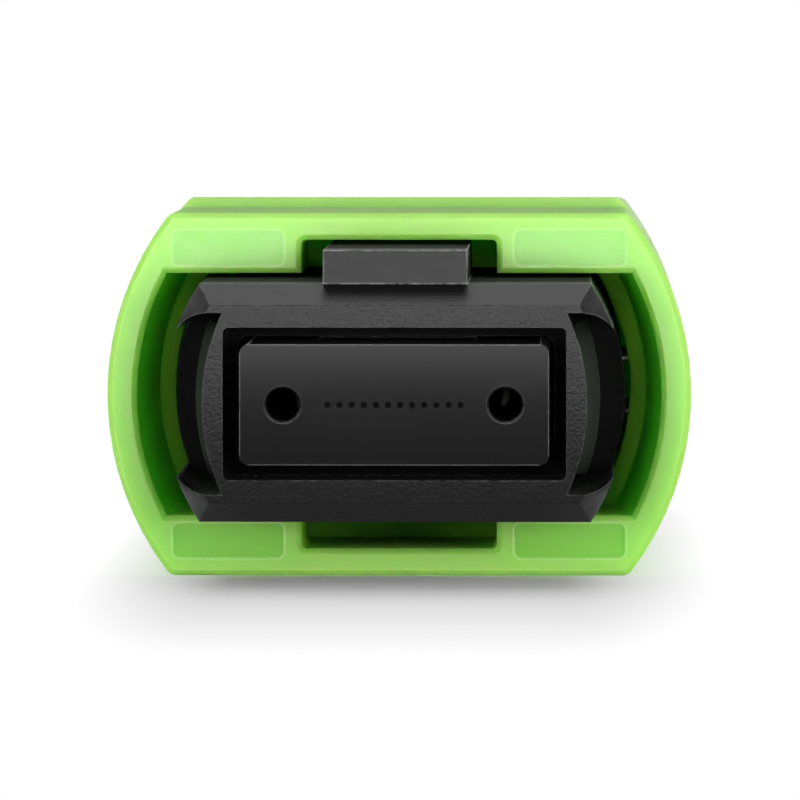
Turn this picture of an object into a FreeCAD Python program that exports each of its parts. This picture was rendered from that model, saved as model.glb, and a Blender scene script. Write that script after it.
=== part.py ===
"""Female MPO fibre connector, twelve fibres, with its push-pull coupling sleeve.

All sizes are in millimetres.  The origin is the centre of the ferrule's end face.
-Y is the mating direction, +Y runs back to the cable, +Z is the side with the key.
"""
import FreeCAD
import Part
import Sketcher
import math
import os
import re

Vector = FreeCAD.Vector

doc = FreeCAD.newDocument("mpo_fibre_connector")

# ---------------------------------------------------------------- driving sizes

SIZES = {
    # MT ferrule: nose, rear collar, guide bores and fibre holes
    "nose_width": 6.4,
    "nose_height": 2.5,
    "nose_corner": 0.2,
    "ferrule_length": 8.0,
    "collar_front": 5.52,
    "collar_width": 7.0,
    "collar_height": 3.0,
    "collar_corner": 0.3,
    "guide_spacing": 4.6,
    "guide_bore": 0.7,
    "guide_chamfer": 0.04,
    "fibre_count": 12,
    "fibre_pitch": 0.25,
    "fibre_hole": 0.127,
    "hole_length": 3.0,
    "window_front": 3.0,
    "window_length": 2.2,
    "window_width": 3.3,
    "window_floor": -0.2,
    "ribbon_front": 4.9,
    "ribbon_width": 3.4,
    "ribbon_height": 1.3,
    # glass fibres and the ribbon that they run in behind the glue window
    "glass": 0.125,
    "glass_length": 3.8,
    "ribbon_rear": 30.0,
    "ribbon_wide": 3.04,
    "ribbon_thick": 0.28,
    # rubber boot behind the ferrule
    "boot_rear": 8.8,
    "boot_width": 3.3,
    "boot_height": 1.2,
    "slot_width": 3.12,
    "slot_height": 0.36,
    # pin keeper, the plate between the ferrule and the main spring
    "keeper_plate": 1.6,
    "keeper_recess": 0.9,
    "keeper_boss": 1.8,
    "boss_width": 3.6,
    "boss_height": 1.4,
    "boss_corner": 0.6,
    "pin_socket": 1.1,
    # plug housing, outside
    "housing_front": 0.4,
    "housing_rear": 22.0,
    "half_depth": 2.475,
    "side_offset": 0.31,
    "side_radius": 4.5,
    "bevel_rise": 0.43,
    "bevel_length": 0.75,
    # latch recesses and latch ridges at the sides of the nose
    "recess_end": 8.0,
    "recess_ceiling": 1.88,
    "nose_side": 3.58,
    "nose_radius": 4.5,
    "lip_start": 3.85,
    "lip_radius": 0.85,
    "lip_end": 4.6,
    "ridge_start": 3.2,
    "ridge_crest": 4.6,
    "ridge_end": 4.8,
    "ridge_rise": 0.28,
    "ridge_half": 1.55,
    # polarising key
    "key_width": 3.0,
    "key_top": 3.175,
    "key_rear": 10.9,
    # plug housing, inside
    "mouth_width": 7.1,
    "mouth_height": 3.15,
    "mouth_corner": 0.12,
    "mouth_depth": 2.2,
    "throat_width": 6.6,
    "throat_height": 2.7,
    "throat_corner": 0.25,
    "chamber_front": 5.5,
    "chamber_width": 7.1,
    "chamber_height": 3.1,
    "chamber_corner": 0.3,
    "catch_front": 18.2,
    "catch_rear": 19.9,
    "catch_height": 1.6,
    # side springs and the channels they lie in
    "channel_x": 4.9,
    "channel_radius": 0.78,
    "channel_front": 12.0,
    "channel_rear": 17.6,
    "side_coil": 0.58,
    "side_wire": 0.2,
    "side_turns": 4,
    # spring push: base, flange, two catch arms and the crimp stem
    "base_front": 20.5,
    "base_width": 7.0,
    "base_height": 3.0,
    "flange_rear": 23.0,
    "flange_half": 2.3,
    "flange_radius": 4.3,
    "arm_front": 17.4,
    "arm_inner": 2.85,
    "arm_height": 2.2,
    "hook_front": 18.35,
    "hook_crest": 19.6,
    "hook_rear": 19.8,
    "hook_reach": 4.05,
    "hook_height": 1.4,
    "passage_width": 3.4,
    "passage_height": 1.2,
    "passage_end": 22.3,
    "stem_radius": 1.98,
    "stem_rear": 30.5,
    "stem_bore": 1.6,
    "rib_radius": 2.08,
    "rib_width": 0.5,
    "rib_pitch": 1.05,
    "rib_count": 5,
    # oval main spring
    "main_wire": 0.5,
    "main_straight": 2.1,
    "main_coil": 1.2,
    "main_turns": 4,
    # crimp ring over the stem
    "ring_bore": 2.1,
    "ring_radius": 2.4,
    "ring_step": 30.7,
    "neck_front": 31.4,
    "neck_bore": 1.6,
    "neck_radius": 1.9,
    "ring_rear": 34.8,
    # coupling sleeve
    "sleeve_front": 6.0,
    "grip_front": 13.0,
    "sleeve_rear": 23.5,
    "sleeve_radius": 6.2,
    "front_half": 3.85,
    "grip_half": 4.06,
    "slope_front": 13.4,
    "slope_drop": 0.22,
    "pocket_radius": 5.57,
    "pocket_half": 2.575,
    "pocket_depth": 5.0,
    "pocket_narrowing": 0.3,
    "narrowing_length": 4.5,
    "keyway_width": 4.15,
    "keyway_half": 3.28,
    "bore_radius": 4.62,
    "collar_plane": 22.3,
    "rear_half": 2.46,
    "rear_radius": 4.36,
    "outer_corner": 0.25,
    "rim_break": 0.12,
    "rear_break": 0.2,
    "keyway_corner": 0.1,
    "pocket_break": 0.12,
    "pad_inner": 2.45,
    "pad_outer": 4.8,
    "pad_low": 2.74,
    "pad_high": 3.48,
    "pad_corner": 0.15,
    "pad_recess": 0.05,
    "groove_floor": 6.0,
    "groove_half": 3.3,
    "groove_width": 0.75,
    "groove_pitch": 1.5,
    "groove_count": 6,
    "groove_front": 14.4,
}

sheet = doc.addObject("Spreadsheet::Sheet", "Sizes")
for row, (alias, size) in enumerate(SIZES.items(), start=1):
    sheet.set(f"A{row}", alias)
    sheet.set(f"B{row}", str(size))
    sheet.setAlias(f"B{row}", alias)
doc.recompute()


def value(expression):
    """The number that an expression of sheet aliases comes to."""
    return float(sheet.evalExpression(expression))


def bind(item, prop, expression):
    """Tie a property to an expression written with the sheet's aliases."""
    words = re.compile(r"[a-z_]+")
    item.setExpression(
        prop,
        words.sub(lambda m: "Sizes." + m[0] if m[0] in SIZES else m[0], expression),
    )


# ------------------------------------------------------ modelling vocabulary


def new_body(name):
    """An empty body whose label is the name of its file."""
    made = doc.addObject("PartDesign::Body", name)
    made.Label = name
    return made


def datum(owner, role):
    """One of the body's own origin planes or axes."""
    return next(item for item in owner.Origin.OriginFeatures if item.Role == role)


def section(owner, name, y):
    """A sketch across the connector at depth y: sketch x is X and sketch y is Z."""
    sketch = owner.newObject("Sketcher::SketchObject", name)
    sketch.AttachmentSupport = [(datum(owner, "XZ_Plane"), "")]
    sketch.MapMode = "FlatFace"
    bind(sketch, "AttachmentOffset.Base.z", f"-({y})")
    return sketch


def plan(owner, name, role="XY_Plane", height="0"):
    """A sketch on a lengthwise plane: XY seen from the key, YZ seen from the side."""
    sketch = owner.newObject("Sketcher::SketchObject", name)
    sketch.AttachmentSupport = [(datum(owner, role), "")]
    sketch.MapMode = "FlatFace"
    bind(sketch, "AttachmentOffset.Base.z", height)
    return sketch


def pin(sketch, geometry, end, x, y):
    """Hold one point of the sketch at the place that two expressions give."""
    for kind, expression in (("DistanceX", x), ("DistanceY", y)):
        row = sketch.addConstraint(
            Sketcher.Constraint(kind, -1, 1, geometry, end, value(expression))
        )
        bind(sketch, f"Constraints[{row}]", expression)


def outline(sketch, corners):
    """A closed outline.  A corner is (x, y), or (x, y, radius) where an arc leaves it.

    A positive radius bulges to the left of the way from corner to corner.
    """
    first = sketch.GeometryCount
    total = len(corners)
    for i, corner in enumerate(corners):
        after = corners[(i + 1) % total]
        a = Vector(value(corner[0]), value(corner[1]), 0)
        b = Vector(value(after[0]), value(after[1]), 0)
        if len(corner) == 2:
            sketch.addGeometry(Part.LineSegment(a, b))
            continue
        radius = value(corner[2])
        half = (b - a).Length / 2
        rise = abs(radius) - math.sqrt(radius**2 - half**2)
        left = Vector(a.y - b.y, b.x - a.x, 0).normalize()
        crown = (a + b) / 2 + left * math.copysign(rise, radius)
        sketch.addGeometry(Part.Arc(a, crown, b))
    for i, corner in enumerate(corners):
        # an arc always runs anticlockwise, so its start may be the later corner
        flipped = len(corner) == 3 and value(corner[2]) > 0
        pin(sketch, first + i, 2 if flipped else 1, corner[0], corner[1])
        if len(corner) == 3:
            row = sketch.addConstraint(
                Sketcher.Constraint("Radius", first + i, abs(value(corner[2])))
            )
            bind(sketch, f"Constraints[{row}]", f"abs({corner[2]})")
    for i, corner in enumerate(corners):
        after = (i + 1) % total
        flipped = len(corner) == 3 and value(corner[2]) > 0
        next_flipped = len(corners[after]) == 3 and value(corners[after][2]) > 0
        sketch.addConstraint(
            Sketcher.Constraint(
                "Coincident",
                first + i,
                1 if flipped else 2,
                first + after,
                2 if next_flipped else 1,
            )
        )
    return sketch


def rectangle(sketch, width, height, corner="", x="0", y="0"):
    """A centred rectangle, with rounded corners where a corner radius is given."""
    left, right = f"{x} - ({width}) / 2", f"{x} + ({width}) / 2"
    low, high = f"{y} - ({height}) / 2", f"{y} + ({height}) / 2"
    if not corner:
        return outline(sketch, [(left, low), (right, low), (right, high), (left, high)])
    bend = f"-({corner})"
    return outline(
        sketch,
        [
            (f"{left} + {corner}", low),
            (f"{right} - {corner}", low, bend),
            (right, f"{low} + {corner}"),
            (right, f"{high} - {corner}", bend),
            (f"{right} - {corner}", high),
            (f"{left} + {corner}", high, bend),
            (left, f"{high} - {corner}"),
            (left, f"{low} + {corner}", bend),
        ],
    )


def circle(sketch, radius, x="0", y="0"):
    """A circle of given radius about a point."""
    ring = Part.Circle(Vector(value(x), value(y), 0), Vector(0, 0, 1), value(radius))
    geometry = sketch.addGeometry(ring)
    pin(sketch, geometry, 3, x, y)
    row = sketch.addConstraint(Sketcher.Constraint("Radius", geometry, value(radius)))
    bind(sketch, f"Constraints[{row}]", radius)
    return sketch


def barrel(sketch, half, radius, offset="side_offset"):
    """Flat top and bottom, with sides that are arcs about two nearby centres."""
    corner = f"{offset} + sqrt(({radius})^2 - ({half})^2)"
    return outline(
        sketch,
        [
            (f"-({corner})", f"-({half})"),
            (corner, f"-({half})", f"-({radius})"),
            (corner, half),
            (f"-({corner})", half, f"-({radius})"),
        ],
    )


def pad(owner, name, sketch, length, back=True):
    """Add the sketch's area over a length, towards the cable unless told otherwise."""
    feature = owner.newObject("PartDesign::Pad", name)
    feature.Profile = sketch
    feature.Reversed = back
    bind(feature, "Length", length)
    return settle(owner, feature, 1)


def pocket(owner, name, sketch, length, back=True, both_ways=False):
    """Cut the sketch's area away over a length, towards the cable by default."""
    feature = owner.newObject("PartDesign::Pocket", name)
    feature.Profile = sketch
    feature.Reversed = not back
    feature.Midplane = both_ways
    bind(feature, "Length", length)
    return settle(owner, feature, -1)


def revolve(owner, name, sketch, axis):
    """Turn the sketch right round one of the body's axes."""
    feature = owner.newObject("PartDesign::Revolution", name)
    feature.Profile = sketch
    feature.ReferenceAxis = (datum(owner, axis), [""])
    feature.Angle = 360
    return settle(owner, feature, 1)


def mirror(owner, name, originals, role="YZ_Plane"):
    """Repeat features on the other side of one of the body's planes."""
    feature = owner.newObject("PartDesign::Mirrored", name)
    feature.Originals = originals
    feature.MirrorPlane = (datum(owner, role), [""])
    owner.Tip = feature
    return settle(owner, feature, 0)


def row_of(owner, name, originals, axis, pitch, count):
    """Repeat features along an axis at an even pitch."""
    feature = owner.newObject("PartDesign::LinearPattern", name)
    feature.Originals = originals
    feature.Direction = (datum(owner, axis), [""])
    feature.Mode = "Spacing"
    bind(feature, "Offset", pitch)
    bind(feature, "Occurrences", count)
    owner.Tip = feature
    return settle(owner, feature, 0)


def dress(owner, name, kind, edges, sign=-1, **sizes):
    """A fillet or a chamfer on the edges of the tip that a test picks out.

    The sign is 1 for an inside edge, where material is added.
    """
    base = owner.Tip
    picked = [
        f"Edge{i}" for i, edge in enumerate(base.Shape.Edges, start=1) if edges(edge)
    ]
    if not picked:
        raise RuntimeError(f"{name}: no edge was found")
    feature = owner.newObject(f"PartDesign::{kind}", name)
    feature.Base = (base, picked)
    for prop, expression in sizes.items():
        if prop == "ChamferType":
            feature.ChamferType = expression
        elif prop == "FlipDirection":
            feature.FlipDirection = expression
        else:
            bind(feature, prop, expression)
    return settle(owner, feature, sign)


volumes = {}


def settle(owner, feature, sign):
    """Recompute, and stop if the feature failed or didn't add or cut anything."""
    doc.recompute()
    shape = feature.Shape
    if "Invalid" in feature.State or "Error" in feature.State or shape.isNull():
        raise RuntimeError(f"{owner.Label}: {feature.Label} failed: {feature.State}")
    before = volumes.get(owner.Label, 0.0)
    change = shape.Volume - before
    if abs(change) < 1e-6 or change * sign < 0:
        raise RuntimeError(f"{owner.Label}: {feature.Label} changed {change:.4f} mm3")
    volumes[owner.Label] = shape.Volume
    return feature


def spans(edge, axis, low, high):
    """True where the whole edge lies between two heights along an axis."""
    box = edge.BoundBox
    start, end = {"x": (box.XMin, box.XMax), "y": (box.YMin, box.YMax)}.get(
        axis, (box.ZMin, box.ZMax)
    )
    return start > low - 1e-4 and end < high + 1e-4


def at_depth(edge, y):
    """True for an edge that lies in the plane across the connector at depth y."""
    return spans(edge, "y", value(y), value(y))


# ---------------------------------------------------------------- plug housing

housing = new_body("plug_housing")

# The barrel-shaped block, bevelled all round its front end.
block = barrel(section(housing, "block", "housing_front"), "half_depth", "side_radius")
pad(housing, "block_pad", block, "housing_rear - housing_front")
dress(
    housing,
    "front_bevel",
    "Chamfer",
    lambda edge: at_depth(edge, "housing_front"),
    ChamferType="Two distances",
    Size="bevel_length",
    Size2="bevel_rise",
)

# Latch recess on each side: the adapter's latch arms run in beside the nose, between
# the two ears, up to the shoulder of the body.  The nose's wall is bowed, and the
# ears' inner faces curl over towards their tips.
ear_tip = "(recess_ceiling - lip_radius + sqrt(lip_radius^2 - (lip_end - lip_start)^2))"
recess = outline(
    section(housing, "latch_recess", "housing_front"),
    [
        ("nose_side", "-recess_ceiling"),
        ("lip_start", "-recess_ceiling", "-lip_radius"),
        ("lip_end", f"-{ear_tip}"),
        ("sleeve_radius", f"-{ear_tip}"),
        ("sleeve_radius", ear_tip),
        ("lip_end", ear_tip, "-lip_radius"),
        ("lip_start", "recess_ceiling"),
        ("nose_side", "recess_ceiling", "nose_radius"),
    ],
)
recess_cut = pocket(housing, "latch_recess_cut", recess, "recess_end - housing_front")
mirror(housing, "latch_recesses", [recess_cut])

# Latch ridge on each side of the nose: a long ramp up from the front and a steep back
# that the adapter's hooks catch behind.  It is turned about the nose wall's own centre.
ridge = plan(housing, "latch_ridge")
bind(ridge, "AttachmentOffset.Base.x", "nose_side - sqrt(nose_radius^2 - recess_ceiling^2)")
outline(
    ridge,
    [
        ("nose_radius - 0.05", "ridge_start"),
        ("nose_radius", "ridge_start"),
        ("nose_radius + ridge_rise", "ridge_crest"),
        ("nose_radius + ridge_rise", "ridge_end"),
        ("nose_radius - 0.05", "ridge_end"),
    ],
)
ridge_turn = housing.newObject("PartDesign::Revolution", "latch_ridge_turn")
ridge_turn.Profile = ridge
ridge_turn.ReferenceAxis = (ridge, ["V_Axis"])
ridge_turn.Midplane = True
bind(ridge_turn, "Angle", "2 * asin(ridge_half / nose_radius)")
settle(housing, ridge_turn, 1)
mirror(housing, "latch_ridges", [ridge_turn])

# Polarising key on the top, from the bevel back to where the sleeve's keyway ends.
key = rectangle(
    section(housing, "key", "housing_front + bevel_length"),
    "key_width",
    "key_top - half_depth + 0.2",
    y="(key_top + half_depth - 0.2) / 2",
)
pad(housing, "key_pad", key, "key_rear - housing_front - bevel_length")

# The way through: a wide mouth round the ferrule, a throat that guides its nose, and
# the chamber that holds the collar, the keeper, the main spring and the spring push.
mouth = rectangle(
    section(housing, "mouth", "housing_front"), "mouth_width", "mouth_height", "mouth_corner"
)
pocket(housing, "mouth_cut", mouth, "mouth_depth")
throat = rectangle(
    section(housing, "throat", "housing_front"),
    "throat_width",
    "throat_height",
    "throat_corner",
)
pocket(housing, "throat_cut", throat, "chamber_front - housing_front + 0.1")
chamber = rectangle(
    section(housing, "chamber", "chamber_front"),
    "chamber_width",
    "chamber_height",
    "chamber_corner",
)
pocket(housing, "chamber_cut", chamber, "housing_rear - chamber_front")

# A round channel in each side for a sleeve spring; its rear end is the spring's seat.
channels = section(housing, "spring_channels", "channel_front")
circle(channels, "channel_radius", x="channel_x")
circle(channels, "channel_radius", x="-channel_x")
pocket(housing, "spring_channels_cut", channels, "channel_rear - channel_front")

# A window in each side wall, where the spring push's arms snap in.
catches = rectangle(
    plan(housing, "catch_windows", "YZ_Plane"),
    "catch_rear - catch_front",
    "catch_height",
    x="(catch_front + catch_rear) / 2",
)
pocket(housing, "catch_windows_cut", catches, "2 * sleeve_radius", both_ways=True)

# ---------------------------------------------------------------- MT ferrule

ferrule = new_body("mt_ferrule")

nose = rectangle(section(ferrule, "nose", "0"), "nose_width", "nose_height", "nose_corner")
pad(ferrule, "nose_pad", nose, "ferrule_length")
collar = rectangle(
    section(ferrule, "collar", "collar_front"), "collar_width", "collar_height", "collar_corner"
)
pad(ferrule, "collar_pad", collar, "ferrule_length - collar_front")

# Two guide bores take the mating plug's pins; their mouths are eased.
guides = section(ferrule, "guide_bores", "0")
circle(guides, "guide_bore / 2", x="guide_spacing / 2")
circle(guides, "guide_bore / 2", x="-guide_spacing / 2")
pocket(ferrule, "guide_bores_cut", guides, "ferrule_length")
dress(
    ferrule,
    "guide_mouths",
    "Chamfer",
    lambda edge: at_depth(edge, "0") and edge.Curve.TypeId == "Part::GeomCircle"
    and abs(edge.Curve.Radius - value("guide_bore / 2")) < 1e-4,
    Size="guide_chamfer",
)

# The glue window in the top opens onto the fibres behind their holes.
window = rectangle(
    plan(ferrule, "glue_window", height="window_floor"),
    "window_width",
    "window_length",
    y="window_front + window_length / 2",
)
pocket(ferrule, "glue_window_cut", window, "nose_height", back=False)

# The ribbon of fibres comes in through the rear, with its rubber boot.
ribbon = rectangle(
    section(ferrule, "ribbon_opening", "ribbon_front"), "ribbon_width", "ribbon_height"
)
pocket(ferrule, "ribbon_opening_cut", ribbon, "ferrule_length - ribbon_front")

# Twelve fibre holes in one row, from the end face to the glue window.
first_fibre = "-fibre_pitch * (fibre_count - 1) / 2"
hole = circle(section(ferrule, "fibre_hole", "0"), "fibre_hole / 2", x=first_fibre)
hole_cut = pocket(ferrule, "fibre_hole_cut", hole, "hole_length")
row_of(ferrule, "fibre_holes", [hole_cut], "X_Axis", "fibre_pitch", "fibre_count")

# ---------------------------------------------------------------- ferrule boot

boot = new_body("ferrule_boot")

sheath = rectangle(section(boot, "sheath", "ribbon_front"), "boot_width", "boot_height")
pad(boot, "sheath_pad", sheath, "boot_rear - ribbon_front")
slot = rectangle(section(boot, "ribbon_slot", "ribbon_front"), "slot_width", "slot_height")
pocket(boot, "ribbon_slot_cut", slot, "boot_rear - ribbon_front")

# ---------------------------------------------------------------- pin keeper

keeper = new_body("pin_keeper")

plate = rectangle(
    section(keeper, "plate", "ferrule_length"), "collar_width", "collar_height", "collar_corner"
)
pad(keeper, "plate_pad", plate, "keeper_plate")
boss = rectangle(
    section(keeper, "boss", "ferrule_length"), "boss_width", "boss_height", "boss_corner"
)
pad(keeper, "boss_pad", boss, "keeper_plate + keeper_boss")
boot_seat = rectangle(
    section(keeper, "boot_seat", "ferrule_length"), "ribbon_width", "ribbon_height"
)
pocket(keeper, "boot_seat_cut", boot_seat, "keeper_recess")
keeper_slot = rectangle(
    section(keeper, "ribbon_slot", "ferrule_length"), "slot_width", "slot_height"
)
pocket(keeper, "ribbon_slot_cut", keeper_slot, "keeper_plate + keeper_boss")

# The sockets for guide pins are there, and empty in a female plug.
sockets = section(keeper, "pin_sockets", "ferrule_length")
circle(sockets, "pin_socket / 2", x="guide_spacing / 2")
circle(sockets, "pin_socket / 2", x="-guide_spacing / 2")
pocket(keeper, "pin_sockets_cut", sockets, "keeper_plate")

# ---------------------------------------------------------------- fibres and ribbon

# Bare glass in each of the ferrule's holes, polished flush with the end face.
for number in range(1, int(value("fibre_count")) + 1):
    fibre = new_body(f"fibre_{number:02d}")
    glass = circle(section(fibre, "glass", "0"), "glass / 2")
    pad(fibre, "glass_pad", glass, "glass_length")
    bind(fibre, "Placement.Base.x", f"fibre_pitch * ({number} - (fibre_count + 1) / 2)")

# The flat ribbon that holds the fibres side by side, cut off where a cable would begin.
ribbon_body = new_body("fibre_ribbon")
flat = rectangle(
    section(ribbon_body, "flat", "glass_length"),
    "ribbon_wide",
    "ribbon_thick",
    "0.49 * ribbon_thick",
)
pad(ribbon_body, "flat_pad", flat, "ribbon_rear - glass_length")

# ---------------------------------------------------------------- spring push

push = new_body("spring_push")

base = rectangle(
    section(push, "base", "base_front"), "base_width", "base_height", "chamber_corner"
)
pad(push, "base_pad", base, "housing_rear - base_front")
flange = barrel(section(push, "flange", "housing_rear"), "flange_half", "flange_radius")
pad(push, "flange_pad", flange, "flange_rear - housing_rear")

# The round stem that the cable's strength yarn is crimped onto, with its grip ribs.
stem = circle(section(push, "stem", "flange_rear"), "stem_radius")
pad(push, "stem_pad", stem, "stem_rear - flange_rear")
rib = circle(section(push, "rib", "flange_rear + rib_pitch"), "rib_radius")
rib_pad = pad(push, "rib_pad", rib, "rib_width")
row_of(push, "ribs", [rib_pad], "Y_Axis", "rib_pitch", "rib_count")

# The ribbon's way through, and the wider bore of the stem.
passage = rectangle(
    section(push, "passage", "base_front"), "passage_width", "passage_height"
)
pocket(push, "passage_cut", passage, "passage_end - base_front + 0.1")
stem_bore = circle(section(push, "stem_bore", "passage_end"), "stem_bore")
pocket(push, "stem_bore_cut", stem_bore, "stem_rear - passage_end")

# An arm on each side of the main spring, whose hook snaps into the housing's window.
arm = rectangle(
    section(push, "arm", "arm_front"),
    "base_width / 2 - arm_inner",
    "arm_height",
    x="(base_width / 2 + arm_inner) / 2",
)
arm_pad = pad(push, "arm_pad", arm, "base_front - arm_front + 0.1")
hook = outline(
    plan(push, "hook"),
    [
        ("base_width / 2 - 0.1", "hook_front"),
        ("base_width / 2", "hook_front"),
        ("hook_reach", "hook_crest"),
        ("hook_reach", "hook_rear"),
        ("base_width / 2 - 0.1", "hook_rear"),
    ],
)
hook_pad = push.newObject("PartDesign::Pad", "hook_pad")
hook_pad.Profile = hook
hook_pad.Midplane = True
bind(hook_pad, "Length", "hook_height")
settle(push, hook_pad, 1)
mirror(push, "arms", [arm_pad, hook_pad])

# ---------------------------------------------------------------- crimp ring

ring = new_body("crimp_ring")

# Its wide part grips the yarn on the stem, and its neck grips the cable's jacket.
wall = outline(
    plan(ring, "half_section"),
    [
        ("ring_bore", "flange_rear"),
        ("ring_radius", "flange_rear"),
        ("ring_radius", "ring_step"),
        ("neck_radius", "neck_front"),
        ("neck_radius", "ring_rear"),
        ("neck_bore", "ring_rear"),
        ("neck_bore", "neck_front"),
        ("ring_bore", "ring_step"),
    ],
)
revolve(ring, "ring_turned", wall, "Y_Axis")

# ---------------------------------------------------------------- coupling sleeve

sleeve = new_body("coupling_sleeve")

# The outside is a cylinder with a flat underside and a flat top, which the grip raises.
front = barrel(
    section(sleeve, "front", "sleeve_front"), "front_half", "sleeve_radius", offset="0"
)
pad(sleeve, "front_pad", front, "sleeve_rear - sleeve_front")
dress(
    sleeve,
    "front_corners",
    "Fillet",
    lambda edge: edge.Curve.TypeId == "Part::GeomLine" and edge.BoundBox.YLength > 1,
    Radius="outer_corner",
)
dress(
    sleeve,
    "front_rim",
    "Chamfer",
    lambda edge: at_depth(edge, "sleeve_front"),
    Size="rim_break",
)
grip_edge = "sqrt(sleeve_radius^2 - grip_half^2)"
grip = outline(
    section(sleeve, "grip", "grip_front"),
    [
        ("-sleeve_radius", "0"),
        ("sleeve_radius", "0", "-sleeve_radius"),
        (grip_edge, "grip_half"),
        (f"-{grip_edge}", "grip_half", "-sleeve_radius"),
    ],
)
pad(sleeve, "grip_pad", grip, "sleeve_rear - grip_front")
dress(
    sleeve,
    "grip_corners",
    "Fillet",
    lambda edge: edge.Curve.TypeId == "Part::GeomLine"
    and edge.BoundBox.YLength > 1
    and abs(edge.BoundBox.ZMax) > 0
    and abs(abs(edge.BoundBox.ZMax) - value("grip_half")) < 1e-4,
    Radius="outer_corner",
)
# The top of the grip falls away a little towards the cable, and its underside is level.
slope = outline(
    plan(sleeve, "top_slope", role="YZ_Plane"),
    [
        ("slope_front", "grip_half"),
        ("sleeve_rear + 0.1", "grip_half - slope_drop"),
        ("sleeve_rear + 0.1", "grip_half + 0.1"),
        ("slope_front", "grip_half + 0.1"),
    ],
)
pocket(sleeve, "top_slope_cut", slope, "3 * sleeve_radius", both_ways=True)
dress(
    sleeve,
    "rear_rim",
    "Chamfer",
    lambda edge: at_depth(edge, "sleeve_rear"),
    Size="rear_break",
)

# In front, a pocket for the adapter's latch arms, with a keyway above and below.
mouth_shape = barrel(
    section(sleeve, "pocket", "sleeve_front"), "pocket_half", "pocket_radius", offset="0"
)
pocket(sleeve, "pocket_cut", mouth_shape, "pocket_depth")
dress(
    sleeve,
    "pocket_narrowing",
    "Chamfer",
    lambda edge: at_depth(edge, "sleeve_front + pocket_depth")
    and edge.Curve.TypeId == "Part::GeomCircle",
    sign=1,
    ChamferType="Two distances",
    Size="narrowing_length",
    Size2="pocket_narrowing",
)
keyway = rectangle(
    section(sleeve, "keyway", "sleeve_front"), "keyway_width", "2 * keyway_half", "keyway_corner"
)
pocket(sleeve, "keyway_cut", keyway, "pocket_depth")
dress(
    sleeve,
    "pocket_rim",
    "Chamfer",
    lambda edge: at_depth(edge, "sleeve_front")
    and spans(edge, "x", -value("pocket_radius"), value("pocket_radius"))
    and spans(edge, "z", -value("keyway_half"), value("keyway_half")),
    Size="pocket_break",
)

# Behind it, the bore that slides on the housing and the channels for the springs.  They
# stop at an inner collar, whose smaller opening closes in round the spring push's flange.
bore = barrel(section(sleeve, "bore", "sleeve_front"), "pocket_half", "bore_radius")
pocket(sleeve, "bore_cut", bore, "collar_plane - sleeve_front")
rear_opening = barrel(section(sleeve, "rear_opening", "collar_plane"), "rear_half", "rear_radius")
pocket(sleeve, "rear_opening_cut", rear_opening, "sleeve_rear - collar_plane")
sleeve_channels = section(sleeve, "spring_channels", "channel_front")
circle(sleeve_channels, "channel_radius", x="channel_x")
circle(sleeve_channels, "channel_radius", x="-channel_x")
pocket(sleeve, "spring_channels_cut", sleeve_channels, "collar_plane - channel_front")

# Four shallow pads in the corners of the front face.
pads = section(sleeve, "face_pads", "sleeve_front")
for across in ("", "-"):
    for up in ("", "-"):
        rectangle(
            pads,
            "pad_outer - pad_inner",
            "pad_high - pad_low",
            "pad_corner",
            x=f"{across}(pad_inner + pad_outer) / 2",
            y=f"{up}(pad_low + pad_high) / 2",
        )
pocket(sleeve, "face_pads_cut", pads, "pad_recess")

# Upright finger grooves down both sides of the grip.
grooves = section(sleeve, "finger_groove", "groove_front")
groove_edge = "sqrt(groove_floor^2 - groove_half^2)"
for across, up in (("", ""), ("-", "-")):
    outline(
        grooves,
        [
            (f"{across}{groove_edge}", f"{up}(-groove_half)"),
            (f"{across}(sleeve_radius + 1)", f"{up}(-groove_half)"),
            (f"{across}(sleeve_radius + 1)", f"{up}(groove_half)"),
            (f"{across}{groove_edge}", f"{up}(groove_half)", "groove_floor"),
        ],
    )
groove_cut = pocket(sleeve, "finger_groove_cut", grooves, "groove_width")
row_of(sleeve, "finger_grooves", [groove_cut], "Y_Axis", "groove_pitch", "groove_count")

# ---------------------------------------------------------------- springs


def coil_spring(name, straight, bend, wire, turns, length, sides, steps):
    """A compression spring along +Y whose front seat is at its own origin.

    Each turn is two half-circle bends, joined by straights where the spring is oval,
    and a nearly closed coil lies at each end.  The wire is faceted: it has flat sides,
    and each bend is cut into steps.
    """
    closed = wire * 1.1
    turn_length = math.tau * bend + 2 * straight
    active_length = turns * turn_length
    active_rise = length - wire - 2 * closed
    sections = []
    for half_turn in range(2 * (turns + 2)):
        side = 1 if half_turn % 2 == 0 else -1
        for step in range(0 if straight or not sections else 1, steps + 1):
            turned = math.pi * step / steps
            along = (half_turn + step / steps) * math.pi * bend + half_turn * straight
            rise = closed * min(along, turn_length) / turn_length
            rise += active_rise * min(max(along / turn_length - 1, 0) / turns, 1)
            rise += closed * max(along - turn_length - active_length, 0) / turn_length
            out = Vector(side * math.sin(turned), 0, side * math.cos(turned))
            centre = Vector(side * straight / 2, wire / 2 + rise, 0) + out * bend
            spokes = [math.tau * (k + 0.5) / sides for k in range(sides)]
            corners = [
                centre + (out * math.cos(t) + Vector(0, math.sin(t), 0)) * wire / 2
                for t in spokes
            ]
            sections.append(Part.makePolygon(corners + corners[:1]))
    spring = doc.addObject("Part::Feature", name)
    spring.Label = name
    spring.Shape = Part.makeLoft(sections, True, True)
    return spring


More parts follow.
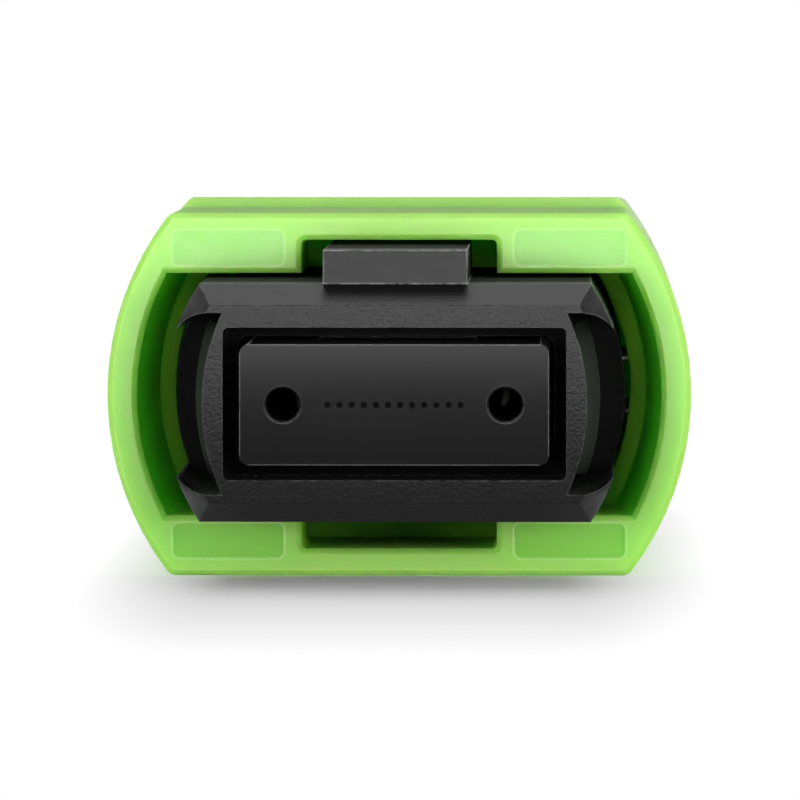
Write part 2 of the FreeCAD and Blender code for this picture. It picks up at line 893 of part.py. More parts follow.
# The oval main spring drives the ferrule forward from the base of the spring push.
main_front = value("ferrule_length + keeper_plate")
main_spring = coil_spring(
    "ferrule_spring",
    straight=value("main_straight"),
    bend=value("main_coil"),
    wire=value("main_wire"),
    turns=int(value("main_turns")),
    length=value("base_front") - main_front,
    sides=8,
    steps=9,
)
main_spring.Placement = FreeCAD.Placement(Vector(0, main_front, 0), FreeCAD.Rotation())

# The two round side springs drive the sleeve forward from the housing's seats.
side_springs = []
for name, side in (("sleeve_spring_left", -1), ("sleeve_spring_right", 1)):
    side_spring = coil_spring(
        name,
        straight=0,
        bend=value("side_coil"),
        wire=value("side_wire"),
        turns=int(value("side_turns")),
        length=value("channel_rear - channel_front"),
        sides=6,
        steps=7,
    )
    side_spring.Placement = FreeCAD.Placement(
        Vector(side * value("channel_x"), value("channel_front"), 0), FreeCAD.Rotation()
    )
    side_springs.append(side_spring)

# ---------------------------------------------------------------- check and write

doc.recompute()
for item in doc.Objects:
    if "Invalid" in item.State or "Error" in item.State:
        raise RuntimeError(f"{item.Label} failed: {item.State}")

sub_parts = [item for item in doc.Objects if item.TypeId == "PartDesign::Body"]
sub_parts += [main_spring, *side_springs]
os.makedirs("parts", exist_ok=True)
for item in sub_parts:
    shape = item.Shape
    if shape.isNull() or not shape.isValid() or len(shape.Solids) != 1:
        raise RuntimeError(f"{item.Label}: not one valid solid")
for item in sub_parts:
    item.Shape.exportStep(f"parts/{item.Label}.step")
    print(f"{item.Label}: {item.Shape.Volume:.3f} mm3")
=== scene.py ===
import math

import bmesh
import bpy
from mathutils import Matrix, Vector


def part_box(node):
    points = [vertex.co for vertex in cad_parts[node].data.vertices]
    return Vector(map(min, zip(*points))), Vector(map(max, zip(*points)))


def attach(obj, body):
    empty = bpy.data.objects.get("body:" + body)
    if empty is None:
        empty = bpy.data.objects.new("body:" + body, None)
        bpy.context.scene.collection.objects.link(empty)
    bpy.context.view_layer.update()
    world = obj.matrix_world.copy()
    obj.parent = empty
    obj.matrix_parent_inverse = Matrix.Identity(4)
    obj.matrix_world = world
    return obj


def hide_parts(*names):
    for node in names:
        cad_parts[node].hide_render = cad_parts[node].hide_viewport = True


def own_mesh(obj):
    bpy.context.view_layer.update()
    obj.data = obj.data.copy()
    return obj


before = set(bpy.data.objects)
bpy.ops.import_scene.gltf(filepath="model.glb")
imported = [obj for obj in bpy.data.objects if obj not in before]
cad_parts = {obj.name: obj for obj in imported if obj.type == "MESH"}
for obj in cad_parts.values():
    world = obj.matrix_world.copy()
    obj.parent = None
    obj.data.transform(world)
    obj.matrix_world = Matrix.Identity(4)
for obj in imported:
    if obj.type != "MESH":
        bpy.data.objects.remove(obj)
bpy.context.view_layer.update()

MM = 0.001

# ---------------------------------------------------------------- table and backdrop
# A white table top that the underside of the plug's sleeve lies on.
# The table keeps the plug's shadow, and further away it runs out into plain white.

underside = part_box("coupling_sleeve")[0].z
half_size = 0.6
middle = Vector((0, 0.2, underside))
plane = bmesh.new()
bmesh.ops.create_grid(plane, x_segments=1, y_segments=1, size=half_size)
bmesh.ops.translate(plane, vec=middle, verts=plane.verts)
table_mesh = bpy.data.meshes.new("table")
plane.to_mesh(table_mesh)
plane.free()
table = bpy.data.objects.new("table", table_mesh)
bpy.context.scene.collection.objects.link(table)


class Value:
    """A socket whose value changes over a surface or along a shape, for sums in plain Python."""

    def __init__(self, tree, socket):
        self.tree = tree
        self.socket = socket

    def sum(self, operation, *terms):
        node = self.tree.nodes.new("ShaderNodeMath")
        node.operation = operation
        for slot, term in zip(node.inputs, terms):
            if isinstance(term, Value):
                self.tree.links.new(term.socket, slot)
            else:
                slot.default_value = term
        return Value(self.tree, node.outputs[0])

    def __add__(self, other):
        return self.sum("ADD", self, other)

    def __sub__(self, other):
        return self.sum("SUBTRACT", self, other)

    def __rsub__(self, other):
        return self.sum("SUBTRACT", other, self)

    def __mul__(self, other):
        return self.sum("MULTIPLY", self, other)

    def __rmul__(self, other):
        return self.sum("MULTIPLY", other, self)

    def __truediv__(self, other):
        return self.sum("DIVIDE", self, other)

    def __pow__(self, other):
        return self.sum("POWER", self, other)

    def __abs__(self):
        return self.sum("ABSOLUTE", self)

    def clipped(self):
        return self.sum("MINIMUM", self.sum("MAXIMUM", self, 0.0), 1.0)

    def past(self, start, over):
        """Grows from 0 at the start to 1 this much further on."""
        return ((self - start) / over).clipped()

    def short_of(self, end, over):
        """Falls to 0 at the end from 1 this much before it."""
        return ((end - self) / over).clipped()


class Recipe:
    """A node tree under construction. Every node comes from node(), which takes its sockets
    by their names, with a _ for a space, or by their numbers, such as _0.
    """

    def __init__(self, tree):
        self.tree = tree

    def node(self, kind, settings=None, out=0, **sockets):
        made = self.tree.nodes.new(kind)
        for name, setting in (settings or {}).items():
            if name == "stops":
                ramp = made.color_ramp
                while len(ramp.elements) < len(setting):
                    ramp.elements.new(0.5)
                for element, (place, shade) in zip(ramp.elements, setting):
                    element.position = place
                    element.color = (*shade, 1)
            else:
                setattr(made, name, setting)
        for name, term in sockets.items():
            spoken = name.replace("_", " ")
            slots = [s for s in made.inputs if s.enabled and s.name.lower() == spoken.lower()]
            if not slots:
                slots = [made.inputs[int(name[1:])]]
            if isinstance(term, Value):
                self.tree.links.new(term.socket, slots[0])
            else:
                slots[0].default_value = term
        shown = [s for s in made.outputs if s.enabled]
        chosen = made.outputs[out] if isinstance(out, str) else shown[out]
        return Value(self.tree, chosen)

    def part(self, vector, axis):
        """A vector's X, Y or Z."""
        return self.node("ShaderNodeSeparateXYZ", out=axis, Vector=vector)

    def size(self, vector):
        """A vector with its signs dropped, so that left equals right and top equals bottom."""
        return self.node("ShaderNodeVectorMath", {"operation": "ABSOLUTE"}, Vector=vector)

    def mix(self, share, first, second):
        """A share of the second colour over the first."""
        first, second = [
            colour if isinstance(colour, Value) else (*colour, 1) for colour in (first, second)
        ]
        return self.node(
            "ShaderNodeMix", {"data_type": "RGBA"}, Factor=share, A=first, B=second
        )

    def white_rays(self):
        """1 for rays from the camera, off a gloss and through glass, which find plain white."""
        direct = self.node("ShaderNodeLightPath", out="Is Camera Ray")
        mirrored = self.node("ShaderNodeLightPath", out="Is Glossy Ray")
        clear = self.node("ShaderNodeLightPath", out="Is Transmission Ray")
        return (direct + mirrored + clear).clipped()


def finish(name):
    """A new material, its recipe and its shader node."""
    material = bpy.data.materials.new(name)
    material.use_nodes = True
    tree = material.node_tree
    shader = tree.nodes["Principled BSDF"]
    return material, Recipe(tree), shader


table_top, recipe, shader = finish("table_top")
shader.inputs["Base Color"].default_value = (0.96, 0.96, 0.96, 1)
shader.inputs["Roughness"].default_value = 0.9
shader.inputs["Specular IOR Level"].default_value = 0.0
place = recipe.node("ShaderNodeTexCoord", out="Object")
across, along = recipe.part(place, "X"), recipe.part(place, "Y")
beside = abs(across).past(3.4 * MM, over=3.2 * MM)
before = along.short_of(6 * MM, over=28 * MM)
beyond = along.past(30 * MM, over=14 * MM)
ends = before.sum("MAXIMUM", before, beyond)
far = ((beside * beside + ends * ends) ** 0.5).clipped()
white = recipe.node("ShaderNodeEmission", Color=(1, 1, 1, 1), Strength=1.0)
plain = Value(recipe.tree, shader.outputs[0])
mixed = recipe.node("ShaderNodeMixShader", _0=far * recipe.white_rays(), _1=plain, _2=white)
recipe.tree.links.new(mixed.socket, recipe.tree.nodes["Material Output"].inputs["Surface"])
table_mesh.materials.append(table_top)

# ---------------------------------------------------------------- room and lamps
# A room that looks white, and lights the plug only faintly, from behind. Two narrow strips
# close in front shade its black end faces from top to bottom. The boxes light the sleeve.

room = bpy.data.worlds.new("room")
room.use_nodes = True
bpy.context.scene.world = room
bpy.context.scene.view_settings.view_transform = "Standard"
recipe = Recipe(room.node_tree)
direct = recipe.white_rays()
toward_back = recipe.part(recipe.node("ShaderNodeTexCoord", out="Generated"), "Y")
glow = (toward_back * 2 + 0.3).clipped() * 0.1
air = recipe.tree.nodes["Background"]
recipe.tree.links.new((direct * (1 - glow) + glow).socket, air.inputs["Strength"])
air.inputs["Color"].default_value = (1, 1, 1, 1)


def softbox(name, centre, aim, width, height, brightness, spread=180):
    """A flat diffusing lamp. Its power follows from its area and how bright its cloth is."""
    lamp = bpy.data.lights.new(name, "AREA")
    lamp.shape = "RECTANGLE"
    lamp.size = width
    lamp.size_y = height
    lamp.energy = brightness * math.pi * width * height
    lamp.spread = math.radians(spread)
    stand = bpy.data.objects.new(name, lamp)
    bpy.context.scene.collection.objects.link(stand)
    stand.location = centre
    stand.rotation_mode = "QUATERNION"
    stand.rotation_quaternion = (Vector(aim) - Vector(centre)).to_track_quat("-Z", "Y")
    stand.visible_camera = False


softbox(
    "near_strip", (0, -0.015, 0.0016), (0, 0.006, 0.0016),
    width=0.028, height=0.002, brightness=1.2, spread=45,
)
softbox(
    "high_strip", (0, -0.015, 0.0054), (0, 0.006, 0.0054),
    width=0.028, height=0.0026, brightness=0.8, spread=45,
)
sleeve_face = (0, 0.006, -0.002)
for name, side in (("left_box", -1), ("right_box", 1)):
    softbox(
        name, (side * 0.1, -0.09, 0.01), sleeve_face, width=0.13, height=0.03, brightness=11.3
    )
softbox(
    "right_high_box", (0.1, -0.09, 0.05), sleeve_face, width=0.11, height=0.05, brightness=1.6
)
softbox("over_strip", (0, 0.055, 0.115), (0, 0, 0), width=0.05, height=0.03, brightness=2.2)
softbox("top_box", (0, 0.04, 0.2), (0, 0.01, 0), width=0.36, height=0.36, brightness=0.6)

# ---------------------------------------------------------------- camera
# A long lens, a little above the plug and to the right of its key, looking at the end face.

frame_width = 800
distance = 0.216
turn = math.radians(0.986)
dip = math.radians(2.108)
lens = bpy.data.cameras.new("camera")
lens.sensor_width = 36
lens.lens = 470.7
focal = lens.lens / lens.sensor_width * frame_width
forward = Vector(
    (-math.sin(turn) * math.cos(dip), math.cos(turn) * math.cos(dip), -math.sin(dip))
)
right = Vector((math.cos(turn), math.sin(turn), 0))
up = right.cross(forward)
# The ferrule's face lies this far left of and below the frame's middle, per metre away.
left_by, below_by = 6 / focal, 5 / focal
camera = bpy.data.objects.new("camera", lens)
bpy.context.scene.collection.objects.link(camera)
camera.location = -distance * (forward - right * left_by - up * below_by)
camera.rotation_mode = "QUATERNION"
camera.rotation_quaternion = Matrix((right, up, -forward)).transposed().to_quaternion()
bpy.context.scene.camera = camera

# ---------------------------------------------------------------- plug housing
# The inner housing, moulded in black plastic: key on top, latch recesses at its sides.
# Its faces are spark-eroded to a fine grain, and its edges carry a little pale flash and a
# painted highlight that is palest on top.


def relaid(shape, radius):
    """Lays the long triangles of a wall that was turned to this radius afresh."""
    wall = []
    for face in shape.faces:
        spokes = [Vector((point.co.x, 0, point.co.z)) for point in face.verts]
        if abs(face.normal.z) < 0.9 and all(
            abs(spoke.length - radius) < 0.005 * MM
            and abs(face.normal.dot(spoke.normalized())) > 0.4
            for spoke in spokes
        ):
            wall.append(face)
    inside = set(wall)
    folds = [
        line for line in shape.edges
        if len(line.link_faces) == 2 and inside.issuperset(line.link_faces)
    ]
    bmesh.ops.beautify_fill(shape, faces=wall, edges=folds, method="ANGLE")


def skin(node, rounding, shortest=0.0, turned=()):
    """A copy of a solid with its facets joined and its rims rounded off a little.

    Edges up to the shortest stay sharp, and walls at a turned radius shade as true rounds.
    """
    same_point = 0.0003 * MM
    same_face = math.radians(0.6)
    rim_angle = math.radians(28)
    shape = bmesh.new()
    shape.from_mesh(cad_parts[node].data)
    shape.normal_update()
    bmesh.ops.remove_doubles(shape, verts=shape.verts, dist=same_point)
    for radius in turned:
        relaid(shape, radius)
    bmesh.ops.dissolve_limit(
        shape, angle_limit=same_face, verts=shape.verts, edges=shape.edges
    )
    rims = shape.edges.layers.float.new("bevel_weight_edge")
    for line in shape.edges:
        sharp = line.calc_face_angle(0.0) > rim_angle and line.calc_length() > shortest
        line[rims] = 1.0 if sharp else 0.0
    blank = bpy.data.meshes.new(node)
    shape.to_mesh(blank)
    shape.free()
    for face in blank.polygons:
        face.use_smooth = True
    holder = bpy.data.objects.new(node + "_blank", blank)
    bpy.context.scene.collection.objects.link(holder)
    rim = holder.modifiers.new("rim", "BEVEL")
    rim.limit_method = "WEIGHT"
    rim.width = rounding
    rim.segments = 2
    rim.use_clamp_overlap = True
    level = holder.modifiers.new("level", "WEIGHTED_NORMAL")
    level.mode = "FACE_AREA"
    level.weight = 100
    level.thresh = 0.001
    ready = bpy.context.evaluated_depsgraph_get()
    mesh = bpy.data.meshes.new_from_object(holder.evaluated_get(ready))
    bpy.data.objects.remove(holder)
    mesh.name = node + "_rounded"
    mesh.materials.clear()
    square_on = 0.9995
    normals = [corner.vector.copy() for corner in mesh.corner_normals]
    for face in mesh.polygons:
        square = [round(part) if abs(part) > square_on else 0 for part in face.normal]
        spoke = Vector((face.center.x, 0, face.center.z))
        facing = face.normal.dot(spoke.normalized())
        on_round = abs(facing) > 0.99 and any(
            abs(spoke.length - radius) < 0.06 * MM for radius in turned
        )
        for corner in face.loop_indices:
            if on_round:
                spot = mesh.vertices[mesh.loops[corner].vertex_index].co
                normals[corner] = Vector((spot.x, 0, spot.z)).normalized() * facing
            elif any(square):
                normals[corner] = Vector(square)
    mesh.normals_split_custom_set(normals)
    piece = bpy.data.objects.new(node + "_skin", mesh)
    bpy.context.scene.collection.objects.link(piece)
    return piece


def fitted(piece, material, slot, body, *nodes):
    """Gives a piece its finish and puts it on its body in place of the nodes it stands for."""
    piece.data.materials.append(material)
    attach(piece, body)
    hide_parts(*nodes)


def moulding(
    name, colour, roughness, grain_size, grain_height, wear_and_highlight_colour, wear_and_highlight,
    fleck_contrast=3.0, spared=0.0, outer_height=0.0
):
    """A moulded plastic: fine grain, faint flow marks, and pale edges that are partly wear and
    partly a painted highlight.

    A row of tiny holes across the middle, spared this far to each side, keeps its rims clean.
    Edges that stand out less than the outer height get a quarter as much, and edges that face
    upwards get the most, a painted highlight of light from above.
    """
    material, recipe, shader = finish(name)
    place = recipe.node("ShaderNodeTexCoord", out="Object")
    grain = recipe.node(
        "ShaderNodeTexNoise", Vector=place, Scale=1 / grain_size, Detail=3.0, Roughness=0.6
    )
    flow = recipe.node("ShaderNodeTexNoise", Vector=place, Scale=700.0, Detail=3.0)
    rounded = recipe.node("ShaderNodeBevel", {"samples": 6}, Radius=0.05 * MM)
    facing = recipe.node("ShaderNodeNewGeometry", out="Normal")
    upward = recipe.part(facing, "Z")
    edge = recipe.node(
        "ShaderNodeVectorMath", {"operation": "DOT_PRODUCT"}, out="Value", _0=rounded, _1=facing
    )
    edge = ((1 - edge) * 6).clipped()
    flecks = recipe.node("ShaderNodeTexNoise", Vector=place, Scale=9000.0, Detail=4.0)
    flecks = ((flecks - 0.5) * fleck_contrast + 0.5).clipped()
    darker, paler = [c * 0.93 for c in colour], [c * 1.07 for c in colour]
    tint = recipe.mix((flow * 0.9).clipped(), darker, paler)
    off_middle = recipe.size(place)
    height = recipe.part(off_middle, "Z")
    clear = recipe.part(off_middle, "X").past(spared, over=0.1 * MM)
    clear = (clear + height.past(0.15 * MM, over=0.05 * MM)).clipped()
    outer = height.past(outer_height, over=0.1 * MM) * 0.75 + 0.25
    # Pale edges, partly wear and partly a painted highlight: strongest where an edge faces
    # upwards.
    wear_and_highlight_mask = (upward * 1.2 + 0.25).clipped() * outer * clear * wear_and_highlight
    tint = recipe.mix(edge * flecks * wear_and_highlight_mask, tint, wear_and_highlight_colour)
    bump = recipe.node("ShaderNodeBump", Height=grain, Strength=1.0, Distance=grain_height)
    coarse = upward.past(0.9, over=1 / 12) * 0.3
    mottled = (flow * 0.04 + roughness - 0.02 + coarse).clipped()
    recipe.tree.links.new(tint.socket, shader.inputs["Base Color"])
    recipe.tree.links.new(mottled.socket, shader.inputs["Roughness"])
    recipe.tree.links.new(bump.socket, shader.inputs["Normal"])
    return material, recipe, shader


def left_matt(recipe, shader, place, half_width, half_height, depth):
    """Roughens what lies behind a mouth of this size, where the mould is left unpolished."""
    off_middle = recipe.size(place)
    hidden = recipe.part(off_middle, "X").short_of(half_width, over=0.05 * MM)
    hidden = hidden * recipe.part(off_middle, "Z").short_of(half_height, over=0.05 * MM)
    hidden = hidden * recipe.part(off_middle, "Y").past(depth, over=0.2 * MM)
    plain = Value(recipe.tree, shader.inputs["Roughness"].links[0].from_socket)
    recipe.tree.links.new((plain + hidden * 0.55).clipped().socket, shader.inputs["Roughness"])


housing_plastic, recipe, shader = moulding(
    "black_plastic", (0.0035, 0.0035, 0.0036), roughness=0.24, grain_size=0.08 * MM,
    grain_height=0.009 * MM, wear_and_highlight_colour=(0.9, 0.9, 0.9), wear_and_highlight=1.3, outer_height=2.3 * MM,
)
shader.inputs["Specular IOR Level"].default_value = 0.125
place = recipe.node("ShaderNodeTexCoord", out="Object")
left_matt(recipe, shader, place, 3.7 * MM, 1.75 * MM, 0.55 * MM)
left_matt(recipe, shader, place, 9 * MM, 9 * MM, 2.5 * MM)
housing = skin("plug_housing", 0.035 * MM)
fitted(housing, housing_plastic, "housing_plastic", "plug_body", "plug_housing")

# ---------------------------------------------------------------- MT ferrule
# A glass-filled composite moulding, ground flat across its end face and polished.
# Two guide bores and a row of twelve fibre holes open in that face.

# Its rims carry a thin pale line, brightest on top: a painted highlight.
ferrule_composite, recipe, shader = moulding(
    "ground_composite", (0.004, 0.004, 0.0041), roughness=0.2, grain_size=0.05 * MM,
    grain_height=0.0006 * MM, wear_and_highlight_colour=(0.4, 0.4, 0.4), wear_and_highlight=2.2, fleck_contrast=1.0, spared=1.6 * MM,
)
shader.inputs["Specular IOR Level"].default_value = 0.075
place = recipe.node("ShaderNodeTexCoord", out="Object")
left_matt(recipe, shader, place, 5 * MM, 5 * MM, 0.15 * MM)
ferrule = skin("mt_ferrule", 0.018 * MM, shortest=0.05 * MM)
fitted(ferrule, ferrule_composite, "ferrule_composite", "ferrule_set", "mt_ferrule")

# ---------------------------------------------------------------- glass fibres
# Twelve bare glass fibres, glued in the ferrule's holes 0.25 mm apart and polished off
# flush with its end face. No light comes through them, so their ends are painted near black, a
# painted shade.

glass, recipe, shader = finish("glass")
place = recipe.node("ShaderNodeTexCoord", out="Object")
core = recipe.node("ShaderNodeTexNoise", Vector=place, Scale=30000.0, Detail=2.0)
tint = recipe.mix(core.clipped(), (0.0005, 0.0005, 0.0006), (0.002, 0.002, 0.0025))
recipe.tree.links.new(tint.socket, shader.inputs["Base Color"])
shader.inputs["Roughness"].default_value = 0.8
shader.inputs["Specular IOR Level"].default_value = 0.03


def grown(name, build, *sizes):
    """A plain mesh grown by a geometry tree, whose named inputs are its sizes in metres."""
    tree = bpy.data.node_groups.new(name, "GeometryNodeTree")
    tree.interface.new_socket("Geometry", in_out="OUTPUT", socket_type="NodeSocketGeometry")
    inputs = {}
    for label, size in sizes:
        kind = "NodeSocketInt" if isinstance(size, int) else "NodeSocketFloat"
        socket = tree.interface.new_socket(label, in_out="INPUT", socket_type=kind)
        inputs[label] = socket.identifier
    recipe = Recipe(tree)
    entry = tree.nodes.new("NodeGroupInput")
    given = {label: Value(tree, entry.outputs[label]) for label, _ in sizes}
    done = build(recipe, given)
    exit_node = tree.nodes.new("NodeGroupOutput")
    tree.links.new(done.socket, exit_node.inputs[0])
    seed = bpy.data.meshes.new(name + "_seed")
    holder = bpy.data.objects.new(name + "_seed", seed)
    bpy.context.scene.collection.objects.link(holder)
    modifier = holder.modifiers.new(name, "NODES")
    modifier.node_group = tree
    for label, size in sizes:
        modifier[inputs[label]] = size
    ready = bpy.context.evaluated_depsgraph_get()
    mesh = bpy.data.meshes.new_from_object(holder.evaluated_get(ready))
    bpy.data.objects.remove(holder)
    mesh.name = name
    piece = bpy.data.objects.new(name, mesh)
    bpy.context.scene.collection.objects.link(piece)
    return piece


def fibre_row(recipe, size):
    """A row of round glass rods along +Y, side by side across X."""
    first = recipe.node("ShaderNodeCombineXYZ", X=size["Pitch"] * -0.5 * (size["Count"] - 1))
    step = recipe.node("ShaderNodeCombineXYZ", X=size["Pitch"])
    row = recipe.node(
        "GeometryNodeMeshLine", {"mode": "OFFSET"},
        Count=size["Count"], Start_Location=first, Offset=step,
    )
    rod = recipe.node(
        "GeometryNodeMeshCylinder", {"fill_type": "NGON"}, out="Mesh",
        Vertices=20, Radius=size["Radius"], Depth=size["Length"],
    )
    middle = recipe.node("ShaderNodeCombineXYZ", Y=size["Length"] * 0.5)
    rod = recipe.node(
        "GeometryNodeTransform", Geometry=rod, Translation=middle, Rotation=(math.pi / 2, 0, 0)
    )
    rods = recipe.node("GeometryNodeInstanceOnPoints", Points=row, Instance=rod)
    rods = recipe.node("GeometryNodeRealizeInstances", Geometry=rods)
    return recipe.node("GeometryNodeSetMaterial", Geometry=rods, Material=glass)


front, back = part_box("fibre_01")
fibres = grown(
    "glass_fibres", fibre_row, ("Count", 12), ("Pitch", 0.25 * MM),
    ("Radius", (back.x - front.x) / 2), ("Length", back.y - front.y),
)
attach(fibres, "ferrule_set")
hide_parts(*[f"fibre_{number:02d}" for number in range(1, 13)])

# ---------------------------------------------------------------- fibre ribbon
# Behind the ferrule's glue window the fibres run on as one flat ribbon, each in its own
# coloured acrylate, in the usual order from blue at one edge to aqua at the other.

ribbon_acrylate, recipe, shader = finish("ribbon_stripes")
place = recipe.node("ShaderNodeTexCoord", out="Object")
across = recipe.part(place, "X")
fibre_colours = [
    (0.02, 0.12, 0.5), (0.8, 0.22, 0.02), (0.03, 0.35, 0.08), (0.16, 0.06, 0.02),
    (0.2, 0.22, 0.25), (0.8, 0.8, 0.78), (0.6, 0.02, 0.02), (0.01, 0.01, 0.01),
    (0.8, 0.65, 0.03), (0.22, 0.05, 0.35), (0.8, 0.3, 0.35), (0.1, 0.6, 0.6),
]
stripes = recipe.node(
    "ShaderNodeValToRGB",
    {"stops": [(number / 12, colour) for number, colour in enumerate(fibre_colours)]},
    Fac=(across / (3.0 * MM) + 0.5).clipped(),
)
stripes.socket.node.color_ramp.interpolation = "CONSTANT"
pitch = 0.25 * MM
ridge = across.sum("FRACT", across / pitch)
ridge = recipe.node(
    "ShaderNodeBump", Height=abs(ridge - 0.5) * -1, Strength=0.6, Distance=0.03 * MM
)
recipe.tree.links.new(stripes.socket, shader.inputs["Base Color"])
recipe.tree.links.new(ridge.socket, shader.inputs["Normal"])
shader.inputs["Roughness"].default_value = 0.3
ribbon = skin("fibre_ribbon", 0.02 * MM)
fitted(ribbon, ribbon_acrylate, "ribbon_acrylate", "ferrule_set", "fibre_ribbon")

# ---------------------------------------------------------------- ferrule boot
# A soft rubber plug that lines the rear of the ferrule, so that the glue stays in it
# and the ribbon leaves without a sharp bend.

boot_rubber, recipe, shader = moulding(
    "soft_rubber", (0.02, 0.02, 0.022), roughness=0.7, grain_size=0.06 * MM,
    grain_height=0.003 * MM, wear_and_highlight_colour=(0.1, 0.1, 0.1), wear_and_highlight=0.2,
)
boot = skin("ferrule_boot", 0.02 * MM)
fitted(boot, boot_rubber, "boot_rubber", "ferrule_set", "ferrule_boot")

# ---------------------------------------------------------------- pin keeper
# A small metal-injected plate that the main spring pushes on. Its two sockets would
# hold guide pins in a male plug, and only clear the other plug's pins in this one.


def metal(name, colour, roughness, scratch):
    """A bright metal with fine drawn or turned lines and faint stains."""
    material, recipe, shader = finish(name)
    place = recipe.node("ShaderNodeTexCoord", out="Object")
    stain = recipe.node("ShaderNodeTexNoise", Vector=place, Scale=900.0, Detail=4.0)
    drawn = recipe.node("ShaderNodeMapping", Vector=place, Scale=(1.0, 16.0, 1.0))
    lines = recipe.node("ShaderNodeTexNoise", Vector=drawn, Scale=5000.0, Detail=3.0)
    tint = recipe.mix(stain.clipped(), [c * 0.8 for c in colour], colour)
    bump = recipe.node("ShaderNodeBump", Height=lines, Strength=0.5, Distance=scratch)
    recipe.tree.links.new(tint.socket, shader.inputs["Base Color"])
    recipe.tree.links.new((lines * 0.2 + roughness - 0.1).socket, shader.inputs["Roughness"])
    recipe.tree.links.new(bump.socket, shader.inputs["Normal"])
    shader.inputs["Metallic"].default_value = 1.0
    return material


keeper_steel = metal("moulded_steel", (0.5, 0.49, 0.47), roughness=0.4, scratch=0.003 * MM)
keeper = skin("pin_keeper", 0.02 * MM)
fitted(keeper, keeper_steel, "keeper_steel", "ferrule_set", "pin_keeper")

# ---------------------------------------------------------------- main spring
# An oval coil of stainless wire round the ribbon. It stands on the spring push and drives
# the ferrule forward, and a nearly closed coil lies flat at each of its ends.

spring_steel = metal("spring_wire", (0.3, 0.295, 0.285), roughness=0.48, scratch=0.002 * MM)


def coil(recipe, size):
    """A compression spring along +Y: round wire along a helix with closed end coils."""
    turns, wire, bend = size["Turns"], size["Wire"], size["Bend"]
    straight = size["Straight"]
    closed = wire * 1.1
    half = bend * math.pi + straight
    turn = half * 2
    wound = turn * (turns + 2)
    points = recipe.node("GeometryNodeMeshLine", {"mode": "OFFSET"}, Count=size["Points"])
    index = recipe.node("GeometryNodeInputIndex")
    along = wound * (index / (size["Points"] - 1))
    halves = along.sum("FLOOR", along / half + 0.00001)
    rest = along - halves * half
    side = 1 - 2 * halves.sum("FLOORED_MODULO", halves, 2.0)
    curved = rest.sum("MINIMUM", rest, bend * math.pi)
    run = rest.sum("MAXIMUM", rest - bend * math.pi, 0.0)
    angle = curved / bend
    across = side * (straight * 0.5 + bend * angle.sum("SINE", angle) - run)
    upward = side * bend * angle.sum("COSINE", angle)
    rise = closed * (along / turn).sum("MINIMUM", along / turn, 1.0)
    rise = rise + (size["Length"] - wire - 2 * closed) * ((along / turn - 1) / turns).clipped()
    rise = rise + closed * (along / turn - 1 - turns).clipped()
    where = recipe.node("ShaderNodeCombineXYZ", X=across, Y=rise + wire * 0.5, Z=upward)
    line = recipe.node("GeometryNodeSetPosition", Geometry=points, Position=where)
    line = recipe.node("GeometryNodeMeshToCurve", Mesh=line)
    ring = recipe.node("GeometryNodeCurvePrimitiveCircle", Resolution=12, Radius=wire * 0.5)
    tube = recipe.node("GeometryNodeCurveToMesh", Curve=line, Profile_Curve=ring, Fill_Caps=True)
    tube = recipe.node("GeometryNodeRealizeInstances", Geometry=tube)
    return recipe.node("GeometryNodeSetMaterial", Geometry=tube, Material=spring_steel)


front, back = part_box("ferrule_spring")
main_spring = grown(
    "main_spring", coil, ("Turns", 4), ("Wire", 0.5 * MM), ("Bend", 1.2 * MM),
    ("Straight", 2.1 * MM), ("Length", back.y - front.y), ("Points", 481),
)
main_spring.data.transform(Matrix.Translation((0, front.y, 0)))
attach(main_spring, "plug_body")
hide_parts("ferrule_spring")
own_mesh(main_spring)

# ---------------------------------------------------------------- spring push
# The black plastic piece that closes the housing: its hooks snap into the side windows,
# and the ribbed stem behind its flange is what the cable's yarn is crimped onto.

push_plastic, recipe, shader = moulding(
    "black_push_plastic", (0.015, 0.015, 0.016), roughness=0.45, grain_size=0.09 * MM,
    grain_height=0.004 * MM, wear_and_highlight_colour=(0.2, 0.2, 0.2), wear_and_highlight=0.4,
)
push = skin("spring_push", 0.03 * MM)
fitted(push, push_plastic, "push_plastic", "plug_body", "spring_push")

# ---------------------------------------------------------------- crimp ring
# A turned and plated brass ring. Its wide part holds the yarn on the stem, and its
# neck closes on the cable's jacket.

crimp_metal = metal("plated_brass", (0.66, 0.63, 0.58), roughness=0.25, scratch=0.004 * MM)
crimp = skin("crimp_ring", 0.03 * MM)
fitted(crimp, crimp_metal, "crimp_metal", "plug_body", "crimp_ring")

# ---------------------------------------------------------------- coupling sleeve
# The push-pull grip, moulded in lime green plastic. It slides on the housing against
# two side springs, and its front pocket lets the adapter's latch arms spread.

sleeve_plastic, recipe, shader = moulding(
    "lime_plastic", (0.305, 0.67, 0.105), roughness=0.38, grain_size=0.12 * MM,
    grain_height=0.0015 * MM, wear_and_highlight_colour=(0.6, 0.9, 0.4), wear_and_highlight=1.0,
)
place = recipe.node("ShaderNodeTexCoord", out="Object")
off_middle = recipe.size(place)
across, upward = recipe.part(off_middle, "X"), recipe.part(off_middle, "Z")
inward = recipe.part(place, "Y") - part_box("coupling_sleeve")[0].y

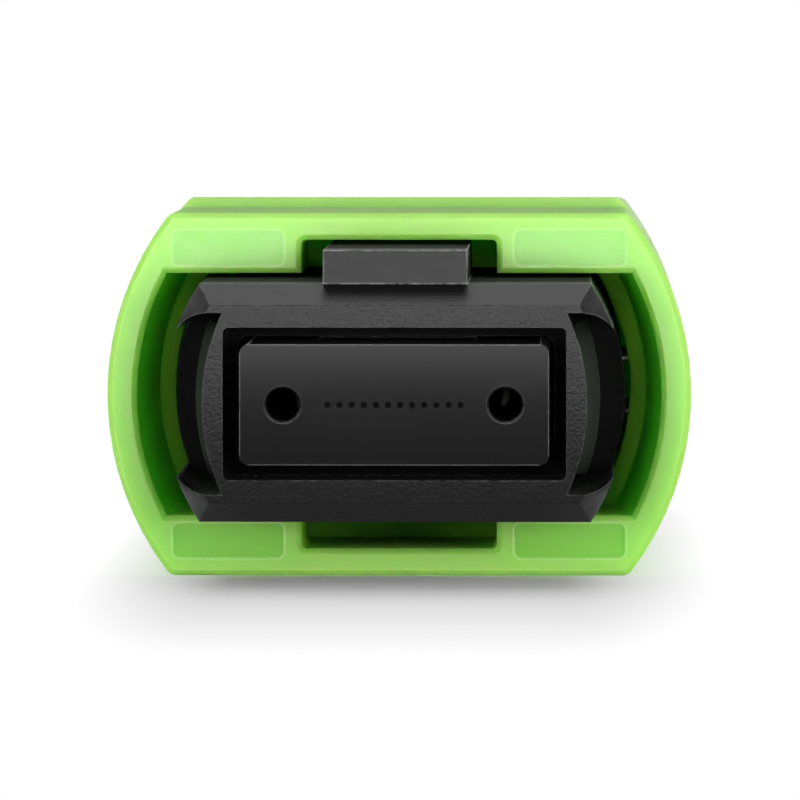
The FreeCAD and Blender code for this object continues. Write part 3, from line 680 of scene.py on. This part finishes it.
# The four pads of its end face are polished in the mould, each inside a thin raised line that is
# painted pale, a painted highlight.
pad_x, pad_half_width = 3.625 * MM, 1.175 * MM
pad_z, pad_half_height = 3.11 * MM, 0.37 * MM
corner = 0.15 * MM
beyond_side = abs(across - pad_x) - (pad_half_width - corner)
beyond_side = beyond_side.sum("MAXIMUM", beyond_side, 0.0)
beyond_top = abs(upward - pad_z) - (pad_half_height - corner)
beyond_top = beyond_top.sum("MAXIMUM", beyond_top, 0.0)
outline = (beyond_side * beyond_side + beyond_top * beyond_top) ** 0.5 - corner
at_face = inward.short_of(0.3 * MM, over=0.1 * MM)
polished = outline.short_of(0.0, over=0.03 * MM) * at_face
painted_rim_highlight = abs(outline - 0.02 * MM).short_of(0.045 * MM, over=0.045 * MM) * at_face

# Its plastic lets light in. Inside the pocket and the keyway its green is painted more vivid, a
# painted glow for that light, and from 1.5 mm in it is painted darker, a painted shade.
radius = (across * across + upward * upward) ** 0.5
in_pocket = radius.short_of(5.75 * MM, over=0.1 * MM)
in_pocket = in_pocket * upward.short_of(2.65 * MM, over=0.07 * MM)
in_keyway = across.short_of(2.2 * MM, over=0.1 * MM)
in_keyway = in_keyway * upward.short_of(3.4 * MM, over=0.1 * MM)
glow_and_matt_inside = in_pocket.sum("MAXIMUM", in_pocket, in_keyway)
painted_deep_shade = glow_and_matt_inside * inward.past(1.5 * MM, over=3.0 * MM)
glow_and_matt_inside = glow_and_matt_inside * inward.past(0.1 * MM, over=0.5 * MM)
tint = Value(recipe.tree, shader.inputs["Base Color"].links[0].from_socket)
tint = recipe.mix(polished * 0.6, tint, (0.2, 0.56, 0.05))
# Painted highlight: a pale line round each pad.
tint = recipe.mix(painted_rim_highlight * 0.5, tint, (0.5, 0.85, 0.3))
# Painted glow: a more vivid green inside the pocket and the keyway.
tint = recipe.mix(glow_and_matt_inside * 0.9, tint, (0.24, 0.76, 0.01))
# Painted shade: darker green deeper in.
tint = recipe.mix(painted_deep_shade * 0.3, tint, (0.02, 0.1, 0.003))
recipe.tree.links.new(tint.socket, shader.inputs["Base Color"])
plain = Value(recipe.tree, shader.inputs["Roughness"].links[0].from_socket)
recipe.tree.links.new(
    (plain - polished * 0.1 + glow_and_matt_inside * 0.35).clipped().socket, shader.inputs["Roughness"]
)
shader.inputs["Specular IOR Level"].default_value = 0.35
shader.inputs["Subsurface Weight"].default_value = 1.0
shader.inputs["Subsurface Radius"].default_value = (0.6, 1.0, 0.35)
shader.inputs["Subsurface Scale"].default_value = 1.6 * MM
turned = [wall * MM for wall in (6.2, 6.0, 5.57, 4.62, 4.36)]
sleeve = skin("coupling_sleeve", 0.03 * MM, turned=turned)
fitted(sleeve, sleeve_plastic, "sleeve_plastic", "sleeve", "coupling_sleeve")

# ---------------------------------------------------------------- side springs
# Two small round springs of the same wire in the channels between housing and sleeve.
# They drive the sleeve forward over the latch recesses after it is pulled back.

for hand in ("left", "right"):
    node = "sleeve_spring_" + hand
    front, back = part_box(node)
    side_spring = grown(
        "side_spring_" + hand, coil, ("Turns", 4), ("Wire", 0.2 * MM), ("Bend", 0.58 * MM),
        ("Straight", 0.0), ("Length", back.y - front.y), ("Points", 289),
    )
    side_spring.data.transform(Matrix.Translation(((front.x + back.x) / 2, front.y, 0)))
    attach(side_spring, "plug_body")
    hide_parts(node)
    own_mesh(side_spring)
